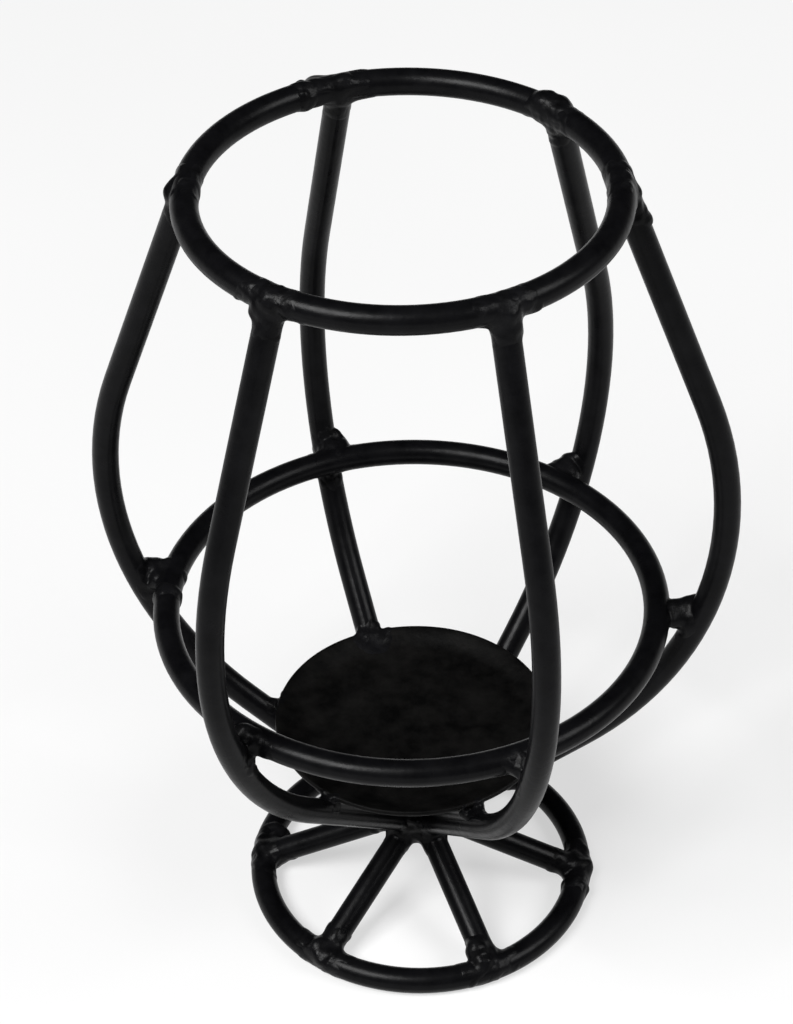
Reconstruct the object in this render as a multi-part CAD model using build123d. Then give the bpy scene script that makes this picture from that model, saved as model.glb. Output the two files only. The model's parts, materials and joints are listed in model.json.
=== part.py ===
from build123d import *
import os
from math import atan2, cos, degrees, radians, sin, sqrt

# Goblet-shaped wire candle holder, in millimetres, +Z up. It stands on its foot ring at z = 0.
# It is modelled round the upright line through its waist, and then moved so that the origin is in
# the middle of its outline seen from above.

# Driving dimensions
WIRE = 5.0                      # diameter of the round bar that the rings and rods are made from
FOOT_RING = 32.2                # centreline radius of the ring that it stands on
MIDDLE_RING = 46.5              # centreline radius of the ring inside the belly
MIDDLE_RING_HEIGHT = 72.5
TOP_RING = 37.4                 # centreline radius of the ring at the mouth
TOP_RING_HEIGHT = 163.0
BELLY_BEND = 69.0               # centreline radius of the long bend round the belly
WAIST_CORNER = (2.6, 17.0)      # radius and height where the legs above and below the waist would meet
WAIST_BEND = 3.8                # centreline radius of the tight bend at the waist
ROD_END_GAP = 0.4               # a rod's axis stops this far short of its ring's centreline
ROD_STEPS = 400                 # points along a rod's axis that are tried to find where it passes a ring

# The holder is bent and welded by hand, so its rods are neither quite evenly spaced nor alike.
# Each one has the azimuths of its mouth end, its belly and its foot end in degrees, and the radius
# and height where the straight legs above and below its belly would meet.
RODS = {
    "left": (173, 169, 175, 71.0, 74.5),
    "front_left": (231, 231, 232, 70.5, 76.0),
    "front_right": (294, 292, 294, 69.5, 74.5),
    "right": (6, 354, 355, 71.0, 73.0),
    "back_right": (46, 52, 51, 72.0, 73.5),
    "back_left": (108, 110, 109, 69.5, 80.5),
}

# The cage leans a little too: the centres of its rings and pan, seen from above
TOP_RING_CENTRE = (-1.5, 2.2)
MIDDLE_RING_CENTRE = (-1.1, 0.4)
FOOT_RING_CENTRE = (0.0, 0.0)
PAN_CENTRE = (-1.2, 0.0)
OUTLINE_CENTRE = (-0.3, 1.4)    # the middle of its outline, where the origin goes

# The candle pan is a shallow dish of sheet steel that lies on the rods
PAN_RADIUS = 27.0
PAN_RIM_HEIGHT = 43.6
PAN_SHEET = 1.2
PAN_DEPTH = 1.6                 # how far its floor lies below its rim
PAN_FLOOR_RADIUS = 22.0

# Weld metal: the radii of the balls of filler round the joints, and of the lump at the waist
END_BEAD = 3.7
MIDDLE_BEAD = 3.9
MIDDLE_BEAD_OFFSET = (3.1, -0.8)    # outwards and upwards from the middle ring's centreline
PAN_BEAD = 2.2
PAN_BEAD_OFFSET = (-1.6, -2.4)      # outwards and upwards from the pan's upper edge
SEAM_CROWN = 2.75               # radius of the filler over a ring's butt joint
SEAM_RISE = 0.4                 # it is laid from above, so it sits a little high on the bar
SEAM_LENGTH = 2.4
WAIST_LUMP = 7.0
WAIST_LUMP_HEIGHT = 17.4

# Azimuths of the butt joints where each ring's bar closes, in degrees
TOP_SEAM = 118
MIDDLE_SEAM = 177
FOOT_SEAM = 345

FOOT_RING_HEIGHT = WIRE / 2


def ring(radius, centre, height, seam_azimuth):
    """A ring of round bar, bent into a circle that starts and ends at its butt weld."""
    return Pos(centre[0], centre[1], height) * Rot(Z=seam_azimuth) * Torus(radius, WIRE / 2)


def turned(azimuth, radius, height):
    """The point at an azimuth and a radius round the waist's upright line."""
    return Vector(radius, 0, height).rotate(Axis.Z, azimuth)


def on_ring(radius, centre, height, azimuth):
    """Where a ring's centreline is at an azimuth round the waist's upright line."""
    angle = radians(azimuth)
    along = centre[0] * cos(angle) + centre[1] * sin(angle)
    across = centre[1] * cos(angle) - centre[0] * sin(angle)
    return turned(azimuth, along + sqrt(radius**2 - across**2), height)


def rod_axis(mouth_azimuth, belly_azimuth, foot_azimuth, belly, belly_height):
    """A rod's centreline: from the mouth round the belly and in to the waist, then out to the foot."""
    mouth = on_ring(TOP_RING, TOP_RING_CENTRE, TOP_RING_HEIGHT, mouth_azimuth)
    corner = turned(belly_azimuth, belly, belly_height)
    waist = turned(foot_azimuth, *WAIST_CORNER)
    foot = on_ring(FOOT_RING, FOOT_RING_CENTRE, FOOT_RING_HEIGHT, foot_azimuth)
    mouth += (corner - mouth).normalized() * ROD_END_GAP
    foot += (waist - foot).normalized() * ROD_END_GAP
    return FilletPolyline(mouth, corner, waist, foot, radius=(BELLY_BEND, WAIST_BEND))


def rod(axis):
    """One bent rod."""
    section = Plane(origin=axis @ 0, z_dir=axis % 0) * Circle(WIRE / 2)
    return sweep(section, path=axis)


def candle_pan():
    """A turned dish with a level rim and a floor a little below it."""
    floor = PAN_RIM_HEIGHT - PAN_DEPTH
    half = Polyline(
        (0, 0, floor),
        (PAN_FLOOR_RADIUS, 0, floor),
        (PAN_RADIUS, 0, PAN_RIM_HEIGHT),
        (PAN_RADIUS, 0, PAN_RIM_HEIGHT - PAN_SHEET),
        (PAN_FLOOR_RADIUS, 0, floor - PAN_SHEET),
        (0, 0, floor - PAN_SHEET),
        close=True,
    )
    return Pos(PAN_CENTRE[0], PAN_CENTRE[1], 0) * revolve(make_face(half), Axis.Z)


def mouth_joint(axis):
    """Where a rod's upper end meets the skin of the top ring."""
    return axis @ 0 + (axis % 0) * WIRE / 2


def foot_joint(axis):
    """Where a rod's lower end meets the skin of the foot ring."""
    return axis @ 1 - (axis % 1) * WIRE / 2


def passing_joint(axis, radius, centre, height, offset):
    """A point beside a circle, outwards and upwards from it, where a rod passes closest to it."""
    middle = Vector(centre[0], centre[1], height)

    def nearest_on_circle(point):
        spoke = Vector(point.X - middle.X, point.Y - middle.Y, 0)
        return middle + spoke.normalized() * radius

    steps = [axis @ (step / ROD_STEPS) for step in range(ROD_STEPS + 1)]
    passing = min(steps, key=lambda point: (point - nearest_on_circle(point)).length)
    rim = nearest_on_circle(passing)
    out, up = offset
    return rim + (rim - middle).normalized() * out + Vector(0, 0, up)


def middle_joint(axis):
    """Halfway between the middle ring's bar and the rod that passes outside it."""
    return passing_joint(axis, MIDDLE_RING, MIDDLE_RING_CENTRE, MIDDLE_RING_HEIGHT, MIDDLE_BEAD_OFFSET)


def pan_joint(axis):
    """In the wedge under the pan's rim, where it lies on a rod."""
    return passing_joint(axis, PAN_RADIUS, PAN_CENTRE, PAN_RIM_HEIGHT, PAN_BEAD_OFFSET)


def filler(point, radius, joined):
    """A ball of filler round a joint, cut back to the skins of the pieces that it joins."""
    across = degrees(atan2(point.Y, point.X)) + 90
    bead = Pos(*point) * Rot(Z=across) * Sphere(radius)
    for piece in joined:
        bead -= piece
    return bead.solids()


def rod_welds(joint, radius, other, axes, rods):
    """The filler between each rod and the ring or pan that it is joined to."""
    solids = []
    for axis, bar in zip(axes, rods):
        solids += filler(joint(axis), radius, [other, bar])
    return solids


def seam_weld(radius, centre, height, azimuth):
    """The crescent of filler over the butt joint that closes a ring."""
    arc = degrees(SEAM_LENGTH / radius)
    crescent = Pos(radius, SEAM_RISE) * Circle(SEAM_CROWN) - Pos(radius, 0) * Circle(WIRE / 2)
    crown = revolve(Plane.XZ * crescent, Axis.Z, arc)
    return Pos(centre[0], centre[1], height) * Rot(Z=azimuth - arc / 2) * crown


def seam_welds():
    """The butt joints of all the rings."""
    top = seam_weld(TOP_RING, TOP_RING_CENTRE, TOP_RING_HEIGHT, TOP_SEAM)
    middle = seam_weld(MIDDLE_RING, MIDDLE_RING_CENTRE, MIDDLE_RING_HEIGHT, MIDDLE_SEAM)
    foot = seam_weld(FOOT_RING, FOOT_RING_CENTRE, FOOT_RING_HEIGHT, FOOT_SEAM)
    return [top.solid(), middle.solid(), foot.solid()]


def waist_weld(rods):
    """The lump of filler that ties the rods together at the waist."""
    return filler(Vector(0, 0, WAIST_LUMP_HEIGHT), WAIST_LUMP, rods)


def main():
    top_ring = ring(TOP_RING, TOP_RING_CENTRE, TOP_RING_HEIGHT, TOP_SEAM)
    middle_ring = ring(MIDDLE_RING, MIDDLE_RING_CENTRE, MIDDLE_RING_HEIGHT, MIDDLE_SEAM)
    foot_ring = ring(FOOT_RING, FOOT_RING_CENTRE, FOOT_RING_HEIGHT, FOOT_SEAM)
    axes = [rod_axis(*bends) for bends in RODS.values()]
    rods = [rod(axis) for axis in axes]

    # The pan's rim is notched where it would meet a rod
    pan = candle_pan()
    for bar in rods:
        pan -= bar

    # Each node is a list of its separate solids
    nodes = {
        "top_ring": top_ring.solids(),
        "middle_ring": middle_ring.solids(),
        "foot_ring": foot_ring.solids(),
        "candle_pan": pan.solids(),
        "top_ring_welds": rod_welds(mouth_joint, END_BEAD, top_ring, axes, rods),
        "middle_ring_welds": rod_welds(middle_joint, MIDDLE_BEAD, middle_ring, axes, rods),
        "foot_ring_welds": rod_welds(foot_joint, END_BEAD, foot_ring, axes, rods),
        "pan_welds": rod_welds(pan_joint, PAN_BEAD, pan, axes, rods),
        "waist_weld": waist_weld(rods),
        "ring_seam_welds": seam_welds(),
    }
    # The rods' ends are coped to the skins of the top ring and the foot ring
    for name, bar in zip(RODS, rods):
        nodes["rod_" + name] = (bar - top_ring - foot_ring).solids()

    os.makedirs("parts", exist_ok=True)
    to_origin = Pos(-OUTLINE_CENTRE[0], -OUTLINE_CENTRE[1], 0)
    for name, solids in nodes.items():
        placed = [to_origin * solid for solid in solids]
        export_step(Compound(children=placed), f"parts/{name}.step")


main()
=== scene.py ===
import json
from math import cos, pi, radians, sin

import bpy
import numpy as np
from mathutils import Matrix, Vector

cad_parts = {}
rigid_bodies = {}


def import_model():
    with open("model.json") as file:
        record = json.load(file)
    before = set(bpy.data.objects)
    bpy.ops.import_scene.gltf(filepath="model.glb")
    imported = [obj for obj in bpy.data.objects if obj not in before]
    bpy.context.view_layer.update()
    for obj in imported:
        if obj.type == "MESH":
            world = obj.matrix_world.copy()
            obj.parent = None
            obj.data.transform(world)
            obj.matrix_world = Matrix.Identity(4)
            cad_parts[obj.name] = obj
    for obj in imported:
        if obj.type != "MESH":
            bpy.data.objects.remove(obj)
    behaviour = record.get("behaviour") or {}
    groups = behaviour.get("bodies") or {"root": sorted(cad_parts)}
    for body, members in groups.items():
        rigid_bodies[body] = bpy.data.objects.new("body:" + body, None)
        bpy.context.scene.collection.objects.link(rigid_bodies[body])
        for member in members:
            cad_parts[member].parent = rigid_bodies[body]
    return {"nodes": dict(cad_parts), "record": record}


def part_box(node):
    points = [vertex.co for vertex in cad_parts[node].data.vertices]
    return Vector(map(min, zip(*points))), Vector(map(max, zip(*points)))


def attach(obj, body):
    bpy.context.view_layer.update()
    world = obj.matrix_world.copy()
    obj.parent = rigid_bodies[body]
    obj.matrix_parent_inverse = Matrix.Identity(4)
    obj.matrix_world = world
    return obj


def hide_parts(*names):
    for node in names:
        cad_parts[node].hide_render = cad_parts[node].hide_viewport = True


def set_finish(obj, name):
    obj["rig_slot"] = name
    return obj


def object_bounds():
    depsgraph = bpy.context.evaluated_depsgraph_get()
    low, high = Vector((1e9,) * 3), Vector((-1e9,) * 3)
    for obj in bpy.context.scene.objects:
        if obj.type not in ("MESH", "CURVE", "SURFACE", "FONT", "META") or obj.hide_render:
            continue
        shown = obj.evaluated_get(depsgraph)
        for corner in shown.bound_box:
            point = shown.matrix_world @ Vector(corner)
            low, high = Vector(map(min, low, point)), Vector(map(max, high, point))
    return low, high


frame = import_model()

import openvdb
from mathutils import Euler, Vector

# The looks of a goblet-shaped wire candle holder: satin black paint, hand-laid welds and a dished pan.
# Lengths are in metres, so a value in millimetres is written as a number times MM.
MM = 0.001
UP = np.array([0.0, 0.0, 1.0])

CAD_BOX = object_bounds()
STAND = CAD_BOX[0][2] + 0.05 * MM       # welds end just above what the holder stands on

# Camera: a product shot from the front and above
LENS = 102.5
CAMERA_AIM = Vector((-3.3, -1.4, 94.9)) * MM
CAMERA_DISTANCE = 539.4 * MM
CAMERA_ELEVATION = 38.98
CAMERA_ROLL = -1.08

# Welds
VOXEL = 0.2 * MM
JOINT_REACH = 8.5 * MM          # half the side of the block of space in which a weld is shaped
TOP_FILLET = 1.7 * MM           # how far the metal spreads from the seam on to each bar
MIDDLE_FILLET = 3.2 * MM
FOOT_FILLET = 2.0 * MM
SKIM = 0.05 * MM                # how thick it still is where its edge meets a bar
HIDE = 0.35 * MM                # how deep its edge then dives under the bar's skin
NEAR = 3.6 * MM                 # the skim reaches this far from the other bar
FAR = 6.4 * MM                  # and its edge is under the skin from here on
ROUGH = 0.11 * MM               # height of the lumps in its surface
LUMP_WAVE = 2.4 * MM           # how far apart those lumps are
LUMP_BLEND = 1.2 * MM           # how far a blob of filler spreads into the metal round it
EDGE_CUT = 0.2 * MM             # the hidden edge ends this far past FAR
WALL = 1.5                      # voxels kept empty round a block, so that its surface is closed
PAN_FILLET = 1.8 * MM
PAN_ROUGH = 0.18 * MM           # for the front right bead, which is in view and coarser
PAN_NEAR = 1.4 * MM             # NEAR and FAR for the pan's smaller welds
PAN_FAR = 4.0 * MM
WAIST_FILLET = 4.0 * MM
WAIST_REACH = 12 * MM
WAIST_LUMPS = ((0.0, 5.6), (4.5, 4.2))      # how far each is above the CAD lump's middle, and its radius
SEAM_REACH = 5.5 * MM
SEAM_CROWN = 0.7 * MM
SEAM_WIDTH = 2.0 * MM
SEAM_WAVE = 1.8 * MM
SEAM_LUMPS = 1.5                # its lumps reach this many times further along the bar than its crown
SEAM_END = 2.4                  # and it ends this many widths from its middle
BEAD_SPAN = 12 * MM             # CAD points closer together than this belong to one seam weld

# Reading a rod's centreline from its skin
STATION_GAP = 0.3 * MM          # the least distance between two cross-sections
STATION_SPREAD = 0.02 * MM      # points of one cross-section agree on the centreline this closely
STATION_POINTS = 8              # and there are at least this many of them

# Candle pan: a spun dish
PAN_SHEET = 1.2 * MM
PAN_FLOOR_RADIUS = 21.5 * MM
PAN_WAVE = 0.12 * MM

# Light and gloss
KEY = 24.0                      # radiance of the softboxes
FILL = 10.0
HORIZON = 1.0                   # radiance of the studio round the holder, and above it
OVERHEAD = 0.10
FLOOR_GLOW = 0.58               # light that comes through the floor, which keeps shadows faint
SHEEN = 0.075                   # specular level of the paint

RODS = ("left", "front_left", "front_right", "right", "back_right", "back_left")


# ---------------------------------------------------------------- what the frame says

def ring_of(node):
    """A ring's centre, centreline radius and bar radius, from its box."""
    low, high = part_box(node)
    bar = (high.z - low.z) / 2
    return np.array((low + high) / 2), (high.x - low.x) / 2 - bar, bar


TOP, TOP_RADIUS, BAR = ring_of("top_ring")
MIDDLE, MIDDLE_RADIUS, _ = ring_of("middle_ring")
FOOT, FOOT_RADIUS, _ = ring_of("foot_ring")

PAN_LOW, PAN_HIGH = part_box("candle_pan")
PAN_RADIUS = (PAN_HIGH.x - PAN_LOW.x) / 2
PAN_RISE = PAN_HIGH.z - PAN_LOW.z - PAN_SHEET
PAN = np.array((PAN_LOW + PAN_HIGH) / 2) * (1, 1, 0) + UP * PAN_LOW.z


def skin_of(node):
    """A CAD node's points, and which way its skin faces at each."""
    mesh = frame["nodes"][node].data
    points = np.zeros(len(mesh.vertices) * 3)
    mesh.vertices.foreach_get("co", points)
    corners = np.zeros(len(mesh.loops), int)
    mesh.loops.foreach_get("vertex_index", corners)
    facing = np.zeros(len(mesh.loops) * 3)
    mesh.corner_normals.foreach_get("vector", facing)
    normals = np.zeros((len(mesh.vertices), 3))
    normals[corners] = facing.reshape(-1, 3)
    return points.reshape(-1, 3), normals


def from_ring(points, centre, radius):
    """How far points are from a ring's centreline."""
    flat = points - centre
    return np.hypot(np.hypot(flat[:, 0], flat[:, 1]) - radius, flat[:, 2])


def leg_end(spot, circle, side, centre, radius):
    """Where the straight leg through a cross-section meets a ring's skin, above it or below it."""
    across = np.linalg.svd(circle - circle.mean(0))[2][2]
    way = across * np.sign(across[2]) * side
    for _ in range(12):
        spot = spot + way * (from_ring(spot[None], centre, radius)[0] - BAR)
    return spot


def rod_path(name):
    """A rod's centreline from the skin of the top ring to the skin of the foot ring.

    The bar's cross-sections are circles of skin points, which share a point when they are moved
    inwards by its radius.
    """
    points, normals = skin_of("rod_" + name)
    inner = points - normals * BAR
    below_mouth = from_ring(inner, TOP, TOP_RADIUS) > 2 * BAR
    clear = below_mouth & (from_ring(inner, FOOT, FOOT_RADIUS) > 2 * BAR)
    points, inner = points[clear], inner[clear]
    path, circles = [], []
    for spot in inner[np.argsort(-inner[:, 2])]:
        if path and np.linalg.norm(spot - path[-1]) < STATION_GAP:
            continue
        same = np.linalg.norm(inner - spot, axis=1) < STATION_SPREAD
        if same.sum() >= STATION_POINTS:
            path.append(inner[same].mean(0))
            circles.append(points[same])
    mouth = leg_end(path[0], circles[0], 1, TOP, TOP_RADIUS)
    foot = leg_end(path[-1], circles[-1], -1, FOOT, FOOT_RADIUS)
    return np.vstack([mouth, path, foot])


# ---------------------------------------------------------------- shapes as distances

def from_path(points, path):
    """How far points are from a path, over the stretches that come near them."""
    nearest = np.full(len(points), 1.0)
    middle = points.mean(0)
    room = np.abs(points - middle).max() * 2
    for start, end in zip(path[:-1], path[1:]):
        along = end - start
        share = np.clip((middle - start) @ along / (along @ along), 0, 1)
        if np.linalg.norm(middle - start - share * along) > room:
            continue
        shares = np.clip((points - start) @ along / (along @ along), 0, 1)
        gap = np.linalg.norm(points - start - shares[:, None] * along, axis=1)
        nearest = np.minimum(nearest, gap)
    return nearest


def joined(a, b, size):
    """The union of two shapes with a fillet of that size between them."""
    overlap = np.maximum(size - np.abs(a - b), 0) / size
    return np.minimum(a, b) - overlap**2 * size / 4


def ramp(value, start, end):
    """A smooth step from 0 at start to 1 at end."""
    share = np.clip((value - start) / (end - start), 0, 1)
    return share * share * (3 - 2 * share)


def lumps(points, seed, wavelength):
    """Smooth random lumps between about -1 and 1."""
    draw = np.random.default_rng(seed)
    waves = 14
    height = np.zeros(len(points))
    for _ in range(waves):
        direction = draw.normal(size=3)
        direction /= np.linalg.norm(direction)
        length = wavelength * draw.uniform(0.7, 1.6)
        height += np.sin(points @ direction * 2 * pi / length + draw.uniform(0, 2 * pi))
    return height / np.sqrt(waves)


def block(centre, reach, voxel):
    """The points of a cubic block of space, and the number of them along each side."""
    count = int(2 * reach / voxel) + 1
    steps = np.arange(count) * voxel - reach
    grid = np.stack(np.meshgrid(steps, steps, steps, indexing="ij"), axis=-1)
    return grid.reshape(-1, 3) + centre, count


def surface(distance, centre, reach, voxel, count):
    """The closed surface where the distances over a block change sign, as points and quads."""
    grid = openvdb.FloatGrid(background=reach)
    grid.copyFromArray(distance.reshape(count, count, count).astype(np.float32))
    points, quads = grid.convertToQuads()
    return points * voxel - reach + centre, quads


def piece(name, parts, materials_slot):
    """One object from several closed surfaces."""
    vertices, faces, start = [], [], 0
    for points, quads in parts:
        vertices.append(points)
        faces.append(quads + start)
        start += len(points)
    mesh = bpy.data.meshes.new(name)
    mesh.from_pydata(np.vstack(vertices).tolist(), [], np.vstack(faces).tolist())
    mesh.validate()
    mesh.shade_smooth()
    thing = bpy.data.objects.new(name, mesh)
    bpy.context.scene.collection.objects.link(thing)
    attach(thing, "root")
    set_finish(thing, materials_slot)
    return thing


# ---------------------------------------------------------------- welds

def weld(centre, distances, blobs, seed, rough, fillet, reach=JOINT_REACH, near=NEAR, far=FAR):
    """A hand-laid weld where bars come near each other, in a block of space round centre.

    distances gives how far points are outside each piece that it joins. blobs are (place, radius).
    """
    points, count = block(centre, reach, VOXEL)
    each = np.sort(np.stack(distances(points)), axis=0)
    first, second = each[0], each[1]
    shape = joined(first, second, fillet)
    for place, radius in blobs:
        ball = np.linalg.norm(points - place, axis=1) - radius
        shape = joined(shape, ball, LUMP_BLEND)
    edge = ramp(second, near, far)
    shape += edge * HIDE - (1 - edge) * SKIM
    shape += rough * lumps(points, seed, LUMP_WAVE) * (1 - edge)
    shape = np.maximum(shape, second - far - EDGE_CUT)
    shape = np.maximum(shape, STAND - points[:, 2])
    wall = np.abs(points - centre).max(1) - reach + WALL * VOXEL
    return surface(np.maximum(shape, wall), centre, reach, VOXEL, count)


def local(origin, centre, offset):
    """A place near a joint, from how far along the ring, outwards and up it is, in millimetres."""
    outward = (origin - centre) * (1, 1, 0)
    outward /= np.linalg.norm(outward)
    along = np.cross(UP, outward)
    return origin + (along * offset[0] + outward * offset[1] + UP * offset[2]) * MM


def facing(origin, offset):
    """A place near a joint, from how far right, up and away it is for the camera, in millimetres."""
    tilt = radians(CAMERA_ELEVATION)
    rise = np.array([0, sin(tilt), cos(tilt)])
    away = np.array([0, cos(tilt), -sin(tilt)])
    return origin + (np.array([1, 0, 0]) * offset[0] + rise * offset[1] + away * offset[2]) * MM


# Blobs of filler at each joint: (right, up and away for the camera, radius), in millimetres
TOP_BLOBS = {
    "left": [(-2.0, -0.4, 0.8, 1.7)],
    "front_left": [(-2.6, -1.9, 0.5, 1.3), (-0.9, -0.3, -1.2, 1.5)],
    "front_right": [(1.0, -3.4, 1.1, 2.1), (1.3, -1.2, -0.6, 1.7)],
    "right": [(4.2, -5.6, 4.0, 1.9), (1.6, -1.6, 1.2, 1.8)],
    "back_right": [(-0.7, 1.7, 0.4, 2.2), (-2.5, 2.2, 0.4, 2.0), (0.8, 0.9, 0.4, 2.1)],
    "back_left": [(-4.5, -0.1, 0.2, 2.3), (0.9, 0.5, -1.1, 1.6)],
}
MIDDLE_BLOBS = {
    "left": [(-4.6, 2.2, 1.9, 1.8), (-2.8, 1.7, 1.8, 1.9), (-1.0, 1.8, 1.9, 1.8), (-2.6, -0.6, 0.0, 1.8),
             (1.2, 0.1, 0.0, 1.9)],
    "front_left": [(-1.5, 0.6, -1.2, 1.7), (-0.4, -0.2, -1.4, 1.6), (-2.4, 1.2, -1.2, 1.5)],
    "front_right": [(0.4, -1.2, -1.0, 1.7)],
    "right": [(3.6, 0.8, 0.4, 1.8), (5.6, 1.1, 0.4, 1.7), (4.4, -0.8, 0.2, 1.9), (3.2, -1.2, 0.2, 1.7),
              (5.8, -0.8, 0.3, 1.8), (7.6, 2.0, 0.6, 1.7), (6.6, -2.6, 0.4, 1.7)],
    "back_right": [(1.2, 2.8, 3.0, 1.9), (2.8, 4.4, 4.0, 1.7), (-0.6, 2.2, 2.2, 1.8), (2.6, 1.6, 2.4, 1.9)],
    "back_left": [(1.6, 2.8, 2.4, 1.8), (0.1, 5.0, 3.4, 1.6), (-0.6, 2.4, 1.4, 1.8)],
}
FOOT_BLOBS = {
    "left": [(-0.2, 1.0, -0.6, 1.7), (2.4, -0.2, -0.6, 1.9), (2.6, 2.0, 1.4, 2.0), (3.4, 3.2, 2.6, 2.0),
             (2.4, 4.4, 4.4, 2.0)],
    "front_left": [(-1.0, 2.0, -0.8, 1.6), (0.0, 0.2, -1.4, 1.7)],
    "front_right": [(-2.6, 4.0, -0.6, 2.2), (-1.6, 1.6, -1.2, 1.8)],
    "right": [(1.2, 0.5, -0.4, 1.8), (-2.5, 0.6, -0.6, 1.6)],
    "back_right": [(0.0, 0.8, -0.8, 1.8), (-1.8, 1.2, -0.6, 1.7)],
    "back_left": [(0.2, 0.8, -0.8, 1.8), (1.4, 1.0, -0.6, 1.7)],
}
# Blobs under the pan's rim: (along it, outwards, up, radius), in millimetres
PAN_BLOBS = {
    "left": [(0.0, -0.8, -1.7, 0.8)],
    "front_left": [(0.4, -0.8, -1.6, 0.8)],
    "front_right": [(0.6, -0.4, -1.5, 1.0), (2.2, -0.8, -1.2, 0.8), (-1.6, -0.8, -1.5, 0.8),
                    (0.4, 1.6, -1.4, 1.3), (0.4, 2.8, -0.4, 1.2)],
    "right": [(0.0, -0.7, -1.6, 0.8)],
    "back_right": [(0.5, -0.8, -1.6, 0.8)],
    "back_left": [(-0.4, -0.8, -1.6, 0.8)],
}


def ring_welds(name, node, centre, radius, paths, table, seed, fillet):
    """The welds between one ring and the six rods."""
    parts = []
    for index, rod in enumerate(RODS):
        path = paths[rod]
        origin = nearest_on_ring(path, centre, radius)
        blobs = [(facing(origin, blob), blob[3] * MM) for blob in table[rod]]

        def distances(points, path=path):
            return from_ring(points, centre, radius) - BAR, from_path(points, path) - BAR

        parts.append(weld(origin, distances, blobs, seed + index, ROUGH, fillet))
    thing = piece(name, parts, "weld_paint")
    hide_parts(node)


def nearest_on_ring(path, centre, radius):
    """The point of a ring's centreline that a path comes closest to."""
    shares = np.linspace(0, 1, 50)[:, None, None]
    fine = (path[:-1] + shares * (path[1:] - path[:-1])).reshape(-1, 3)
    spot = fine[np.argmin(from_ring(fine, centre, radius))] - centre
    spot[2] = 0
    return centre + spot / np.linalg.norm(spot) * radius


def pan_distance(points):
    """How far points are outside the candle pan."""
    flat = points - PAN
    reach = np.hypot(flat[:, 0], flat[:, 1])
    rise = PAN_RISE * ramp(reach, PAN_FLOOR_RADIUS, PAN_RADIUS)
    half = PAN_SHEET / 2
    return np.hypot(np.maximum(reach - PAN_RADIUS + half, 0), flat[:, 2] - half - rise) - half


def pan_welds(paths):
    """The beads in the wedge under the pan's rim, where it lies on each rod."""
    parts = []
    for index, rod in enumerate(RODS):
        path = paths[rod]
        rim = nearest_on_ring(path, PAN + UP * PAN_RISE, PAN_RADIUS)
        blobs = [(local(rim, PAN, blob[:3]), blob[3] * MM) for blob in PAN_BLOBS[rod]]

        def distances(points, path=path):
            return pan_distance(points), from_path(points, path) - BAR

        rough = PAN_ROUGH if rod == "front_right" else ROUGH
        bead = weld(rim, distances, blobs, 40 + index, rough, PAN_FILLET, near=PAN_NEAR, far=PAN_FAR)
        parts.append(bead)
    thing = piece("pan_beads", parts, "weld_paint")
    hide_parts("pan_welds")


def waist_weld(paths):
    """The lump that ties the six rods together, with webs in the crotches between them."""
    low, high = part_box("waist_weld")
    centre = np.array((low + high) / 2)
    lump = [(centre + UP * rise * MM, radius * MM) for rise, radius in WAIST_LUMPS]

    def distances(points):
        return [from_path(points, path) - BAR for path in paths.values()]

    part = weld(centre, distances, lump, 60, ROUGH, WAIST_FILLET, WAIST_REACH)
    thing = piece("waist_lump", [part], "weld_paint")
    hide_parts("waist_weld")


def seam(centre, radius, spot, seed):
    """The raised bead over the butt joint where a ring's bar closes."""
    outward = (spot - centre) * np.array([1, 1, 0])
    outward /= np.linalg.norm(outward)
    along = np.cross(UP, outward)
    points, count = block(spot, SEAM_REACH, VOXEL)
    beside = (points - spot) @ along
    crown = SEAM_CROWN * np.exp(-(beside / SEAM_WIDTH) ** 2) - HIDE
    lumpy = np.exp(-(beside / SEAM_WIDTH / SEAM_LUMPS) ** 2)
    crown += ROUGH * lumps(points, seed, SEAM_WAVE) * lumpy
    shape = from_ring(points, centre, radius) - BAR - crown
    wall = np.abs(points - spot).max(1) - SEAM_REACH + WALL * VOXEL
    shape = np.maximum(shape, np.abs(beside) - SEAM_END * SEAM_WIDTH)
    shape = np.maximum(shape, STAND - points[:, 2])
    return surface(np.maximum(shape, wall), spot, SEAM_REACH, VOXEL, count)


def loose_parts(node):
    """The centre of each separate solid in a CAD node."""
    points, _ = skin_of(node)
    centres = []
    left = points
    while len(left):
        group = np.linalg.norm(left - left[0], axis=1) < BEAD_SPAN
        centres.append((left[group].max(0) + left[group].min(0)) / 2)
        left = left[~group]
    return centres


def seam_welds():
    """The butt joints of the three rings, where the CAD model has them."""
    rings = ((TOP, TOP_RADIUS), (MIDDLE, MIDDLE_RADIUS), (FOOT, FOOT_RADIUS))
    parts = []
    for index, spot in enumerate(loose_parts("ring_seam_welds")):
        centre, radius = min(rings, key=lambda ring: abs(ring[0][2] - spot[2]))
        spot = nearest_on_ring(np.stack([spot, spot]), centre, radius)
        parts.append(seam(centre, radius, spot, 80 + index))
    thing = piece("ring_seams", parts, "weld_paint")
    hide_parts("ring_seam_welds")


# ---------------------------------------------------------------- candle pan

def pan_profile():
    """The pan's section as (radius, height): out along the floor, round the lip and back below."""
    half = PAN_SHEET / 2
    reach = np.concatenate([np.linspace(0, PAN_FLOOR_RADIUS, 24)[1:],
                            np.linspace(PAN_FLOOR_RADIUS, PAN_RADIUS - half, 14)[1:]])
    rise = PAN_RISE * ramp(reach, PAN_FLOOR_RADIUS, PAN_RADIUS)
    turn = np.linspace(pi / 2, -pi / 2, 9)[1:-1]
    lip = np.stack([PAN_RADIUS - half + half * np.cos(turn), PAN_RISE + half + half * np.sin(turn)], 1)
    top = np.stack([reach, rise + PAN_SHEET], 1)
    below = np.stack([reach, rise], 1)[::-1]
    return np.vstack([top, lip, below])


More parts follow.
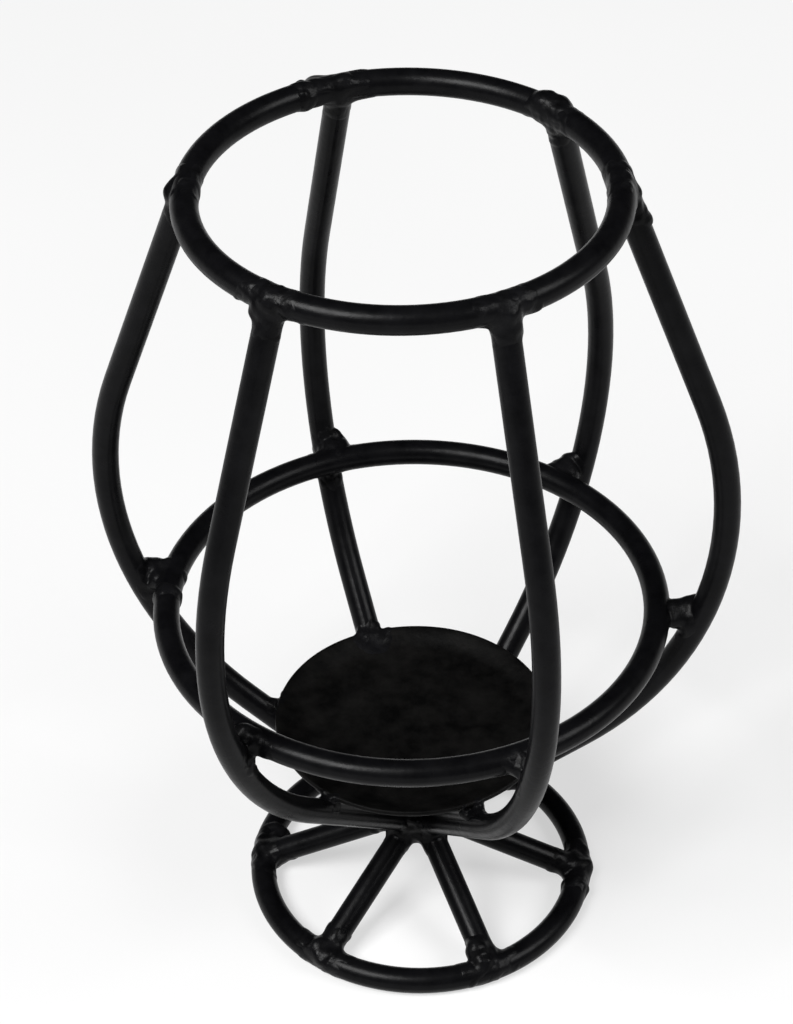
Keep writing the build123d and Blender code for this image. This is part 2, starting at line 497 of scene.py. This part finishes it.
def candle_pan():
    """A dished steel pan with a rounded lip that isn't quite true."""
    around = 192
    profile = pan_profile()
    angle = np.arange(around) * 2 * pi / around
    rows = []
    for reach, height in profile:
        share = reach / PAN_RADIUS
        wave = PAN_WAVE * share**2 * (np.sin(2 * angle + 0.6) + 0.5 * np.sin(5 * angle + 2.0))
        out = reach * (1 + 0.0015 * share * np.sin(3 * angle + 1.1))
        rows.append(np.stack([out * np.cos(angle), out * np.sin(angle), height + wave], 1))
    points = np.vstack(rows + [[[0, 0, PAN_SHEET]], [[0, 0, 0]]]) + PAN
    top, bottom = len(points) - 2, len(points) - 1
    following = (np.arange(around) + 1) % around
    faces = []
    for row in range(len(profile) - 1):
        here, there = row * around, (row + 1) * around
        for step in range(around):
            faces.append((here + step, there + step, there + following[step], here + following[step]))
    last = (len(profile) - 1) * around
    for step in range(around):
        faces.append((top, step, following[step]))
        faces.append((bottom, last + following[step], last + step))
    mesh = bpy.data.meshes.new("pan")
    mesh.from_pydata(points.tolist(), [], [tuple(int(i) for i in face) for face in faces])
    mesh.shade_smooth()
    thing = bpy.data.objects.new("pan", mesh)
    bpy.context.scene.collection.objects.link(thing)
    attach(thing, "root")
    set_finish(thing, "pan_paint")
    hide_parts("candle_pan")


# ---------------------------------------------------------------- materials

def node(tree, kind, **values):
    """A shader node with its inputs set by name."""
    made = tree.nodes.new(kind)
    for name, value in values.items():
        made.inputs[name.replace("_", " ")].default_value = value
    return made


def noise(tree, place, size, detail=3.0, roughness=0.5):
    """A noise texture whose features are about size metres across."""
    made = node(tree, "ShaderNodeTexNoise", Scale=1 / size, Detail=detail, Roughness=roughness)
    tree.links.new(place, made.inputs["Vector"])
    return made.outputs["Fac"]


def spread(tree, value, low, high, start=0.3, end=0.7):
    """A noise value spread over a range."""
    made = tree.nodes.new("ShaderNodeMapRange")
    made.inputs["From Min"].default_value = start
    made.inputs["From Max"].default_value = end
    made.inputs["To Min"].default_value = low
    made.inputs["To Max"].default_value = high
    tree.links.new(value, made.inputs["Value"])
    return made.outputs["Result"]


def tones(tree, value, dark, light):
    """A colour between two tones."""
    ramp_node = tree.nodes.new("ShaderNodeValToRGB")
    ramp_node.color_ramp.elements[0].position = 0.35
    ramp_node.color_ramp.elements[1].position = 0.7
    ramp_node.color_ramp.elements[0].color = (*dark, 1)
    ramp_node.color_ramp.elements[1].color = (*light, 1)
    tree.links.new(value, ramp_node.inputs["Fac"])
    return ramp_node.outputs["Color"]


def bump(tree, height, depth, under=None):
    """A bump of that many metres on top of another one."""
    made = node(tree, "ShaderNodeBump", Strength=1.0, Distance=depth)
    tree.links.new(height, made.inputs["Height"])
    if under is not None:
        tree.links.new(under, made.inputs["Normal"])
    return made.outputs["Normal"]


def black_paint(name, dark, light, gloss, grain):
    """Satin black paint: tones that drift, gloss that varies, orange peel and fine grain."""
    material = bpy.data.materials.new(name)
    material.use_nodes = True
    tree = material.node_tree
    shader = tree.nodes["Principled BSDF"]
    place = tree.nodes.new("ShaderNodeTexCoord").outputs["Object"]
    shader.inputs["Specular IOR Level"].default_value = SHEEN
    colour = tones(tree, noise(tree, place, 5 * MM, 5.0, 0.65), dark, light)
    tree.links.new(colour, shader.inputs["Base Color"])
    rough = spread(tree, noise(tree, place, 3 * MM, 4.0, 0.6), *gloss)
    tree.links.new(rough, shader.inputs["Roughness"])
    peel = bump(tree, noise(tree, place, 1.1 * MM, 2.0), grain * MM)
    fine = bump(tree, noise(tree, place, 0.3 * MM, 2.0), grain * 0.35 * MM, peel)
    tree.links.new(fine, shader.inputs["Normal"])
    return material


def bar_paint():
    return black_paint("satin black on bar", (0.0015, 0.0015, 0.0018), (0.0036, 0.0036, 0.0041),
                       (0.26, 0.36), 0.03)


def weld_paint():
    return black_paint("satin black on weld", (0.0015, 0.0015, 0.0017), (0.0046, 0.0046, 0.0052),
                       (0.26, 0.44), 0.09)


def pan_paint():
    return black_paint("satin black on pan", (0.0008, 0.0008, 0.0008), (0.0046, 0.0044, 0.0042),
                       (0.42, 0.56), 0.05)


def floor_paint():
    """Pale seamless paper."""
    material = bpy.data.materials.new("pale paper")
    material.use_nodes = True
    tree = material.node_tree
    shader = tree.nodes["Principled BSDF"]
    place = tree.nodes.new("ShaderNodeTexCoord").outputs["Object"]
    colour = tones(tree, noise(tree, place, 0.4), (0.25, 0.25, 0.25), (0.28, 0.28, 0.28))
    tree.links.new(colour, shader.inputs["Base Color"])
    shader.inputs["Emission Color"].default_value = (1, 1, 1, 1)
    shader.inputs["Emission Strength"].default_value = FLOOR_GLOW
    shader.inputs["Roughness"].default_value = 0.9
    shader.inputs["Specular IOR Level"].default_value = 0.1
    return material


# ---------------------------------------------------------------- stage, light and camera

def floor():
    half = 8.0
    mesh = bpy.data.meshes.new("floor")
    corners = [(-half, -half, 0), (half, -half, 0), (half, half, 0), (-half, half, 0)]
    mesh.from_pydata(corners, [], [(0, 1, 2, 3)])
    thing = bpy.data.objects.new("floor", mesh)
    thing.data.materials.append(floor_paint())
    bpy.context.scene.collection.objects.link(thing)


def softbox(name, azimuth, elevation, distance, width, height, brightness):
    """A soft light that faces the middle of the holder. Brightness is its radiance."""
    light = bpy.data.lights.new(name, "AREA")
    light.shape = "RECTANGLE"
    light.size = width
    light.size_y = height
    light.energy = brightness * pi * width * height
    lamp = bpy.data.objects.new(name, light)
    turn, tilt = radians(azimuth), radians(elevation)
    way = Vector((cos(tilt) * cos(turn), cos(tilt) * sin(turn), sin(tilt)))
    lamp.location = CAMERA_AIM + way * distance
    lamp.rotation_euler = way.to_track_quat("Z", "Y").to_euler()
    bpy.context.scene.collection.objects.link(lamp)


def surroundings():
    """A studio that is bright near the horizon and dim overhead."""
    world = bpy.data.worlds.new("studio")
    world.use_nodes = True
    tree = world.node_tree
    place = tree.nodes.new("ShaderNodeTexCoord").outputs["Generated"]
    parts = tree.nodes.new("ShaderNodeSeparateXYZ")
    tree.links.new(place, parts.inputs["Vector"])
    shade = tree.nodes.new("ShaderNodeMapRange")
    shade.interpolation_type = "SMOOTHSTEP"
    shade.inputs["From Min"].default_value = 0.06
    shade.inputs["From Max"].default_value = 0.45
    shade.inputs["To Min"].default_value = HORIZON
    shade.inputs["To Max"].default_value = OVERHEAD
    tree.links.new(parts.outputs["Z"], shade.inputs["Value"])
    tree.links.new(shade.outputs["Result"], tree.nodes["Background"].inputs["Strength"])
    bpy.context.scene.world = world


def camera():
    data = bpy.data.cameras.new("camera")
    data.lens = LENS
    data.sensor_width = 36
    data.clip_start = 0.01
    data.clip_end = 50
    view = bpy.data.objects.new("camera", data)
    tilt = radians(CAMERA_ELEVATION)
    view.location = CAMERA_AIM + Vector((0, -cos(tilt), sin(tilt))) * CAMERA_DISTANCE
    upright = Euler((pi / 2 - tilt, 0, 0)).to_matrix()
    view.rotation_euler = (upright @ Euler((0, 0, radians(CAMERA_ROLL))).to_matrix()).to_euler()
    bpy.context.scene.collection.objects.link(view)
    bpy.context.scene.camera = view


def paint_nodes():
    """The finished paint on every piece, by the record's material slots."""
    finishes = {"bar_paint": bar_paint(), "pan_paint": pan_paint(), "weld_paint": weld_paint()}
    slots = {part["node"]: part["material_slot"] for part in frame["record"]["subparts"]}
    for name, thing in frame["nodes"].items():
        for slot in thing.material_slots:
            slot.material = finishes[slots[name]]
    for thing in bpy.context.scene.objects:
        if thing.get("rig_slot"):
            thing.data.materials.append(finishes[thing["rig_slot"]])


def main():
    camera()
    floor()
    surroundings()
    softbox("key", -137, 52, 2.0, 1.0, 0.9, KEY)
    softbox("fill", -20, 42, 2.0, 0.9, 0.9, FILL)
    paths = {rod: rod_path(rod) for rod in RODS}
    ring_welds("mouth_welds", "top_ring_welds", TOP, TOP_RADIUS, paths, TOP_BLOBS, 1, TOP_FILLET)
    ring_welds("belly_welds", "middle_ring_welds", MIDDLE, MIDDLE_RADIUS, paths, MIDDLE_BLOBS, 11,
               MIDDLE_FILLET)
    ring_welds("foot_welds", "foot_ring_welds", FOOT, FOOT_RADIUS, paths, FOOT_BLOBS, 21, FOOT_FILLET)
    pan_welds(paths)
    waist_weld(paths)
    seam_welds()
    candle_pan()
    paint_nodes()
    bpy.context.scene.view_settings.view_transform = "Standard"


main()
